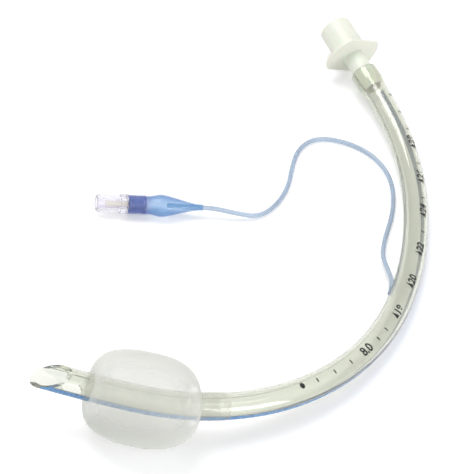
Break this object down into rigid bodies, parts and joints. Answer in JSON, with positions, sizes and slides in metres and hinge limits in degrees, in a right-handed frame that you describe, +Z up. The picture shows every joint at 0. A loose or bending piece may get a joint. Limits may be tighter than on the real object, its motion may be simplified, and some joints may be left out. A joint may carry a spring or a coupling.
{
  "type": "endotracheal tube",
  "caption": "Cuffed endotracheal tube, 8.0 mm bore, with a white 15 mm connector, an inflation line and a blue pilot balloon with a spring valve",
  "frame": {"origin": "the middle of the bounding box's base, on the surface the tube rests on; the bounding box leaves out the inflation line and the pilot balloon with its valve", "axes": "X is the longest extent, with the cuff end at -X; Y points from the tube's bend towards the open end of the connector; Z is up from the surface"},
  "size_m": [0.2424, 0.1882, 0.038],
  "materials": {
    "clear_tube": "smooth clear plasticised vinyl",
    "stripe": "translucent blue-grey, filled vinyl",
    "plug_adhesive": "cured adhesive",
    "cuff_film": "thin milky film",
    "connector_plastic": "satin moulded ivory white",
    "line_tube": "smooth translucent",
    "balloon_blue": "glossy translucent blue film",
    "housing_clear": "clear moulded plastic",
    "body_white": "moulded",
    "plunger_white": "moulded",
    "seal_rubber": "moulded",
    "spring_steel": "drawn wire"
  },
  "bodies": {
    "tube": {"tube_shaft": "clear_tube", "radiopaque_stripe": "stripe", "distal_lumen_plug": "plug_adhesive", "proximal_lumen_plug": "plug_adhesive", "cuff": "cuff_film", "connector": "connector_plastic", "inflation_line": "line_tube", "pilot_balloon": "balloon_blue", "valve_housing": "housing_clear", "valve_body": "body_white", "valve_spring": "spring_steel"},
    "plunger": {"valve_plunger": "plunger_white", "valve_seal": "seal_rubber"}
  },
  "joints": [
    {"name": "plunger_slide", "type": "slide", "parent": "tube", "child": "plunger", "axis": [0.9345, -0.3559, 0], "range_m": [0, 0.0012], "stiffness_N_per_m": 300, "springref_m": -0.0015, "deforming": ["valve_spring"]}
  ]
}
